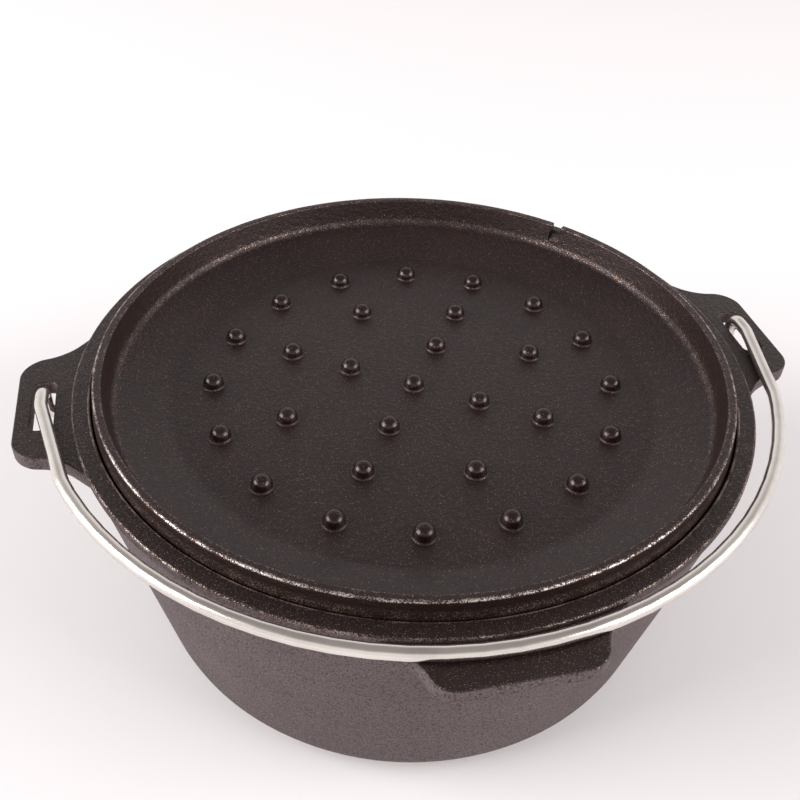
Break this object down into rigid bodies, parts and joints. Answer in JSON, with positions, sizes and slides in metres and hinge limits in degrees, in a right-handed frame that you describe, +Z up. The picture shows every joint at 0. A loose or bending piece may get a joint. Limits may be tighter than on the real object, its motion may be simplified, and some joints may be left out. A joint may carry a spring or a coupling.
{
  "type": "cast iron dutch oven",
  "caption": "Round cast iron pot with bail ears and a front tab, a studded lid laid upside down in its mouth, and a steel wire bail folded forward.",
  "frame": {"origin": "centre of the pot's flat base, on the surface it stands on", "axes": "+X through the centre of the right ear, +Z up through the lid, -Y towards the front tab and the folded bail"},
  "size_m": [0.311, 0.2857, 0.1289],
  "materials": {
    "pot_iron": "seasoned, fine sandy grain",
    "lid_iron": "seasoned, fine sandy grain, glossier studs",
    "bail_steel": "satin drawn wire"
  },
  "bodies": {
    "pot": {"pot": "pot_iron"},
    "lid": {"lid": "lid_iron"},
    "bail": {"bail": "bail_steel"}
  },
  "joints": [
    {"name": "lid_lift", "type": "slide", "parent": "pot", "child": "lid", "axis": [0, 0, 1], "range_m": [0, 0.046]},
    {"name": "bail_swing", "type": "hinge", "parent": "pot", "child": "bail", "pos_m": [0, 0, 0.1175], "axis": [-1, 0, 0], "range_deg": [0, 100]}
  ]
}
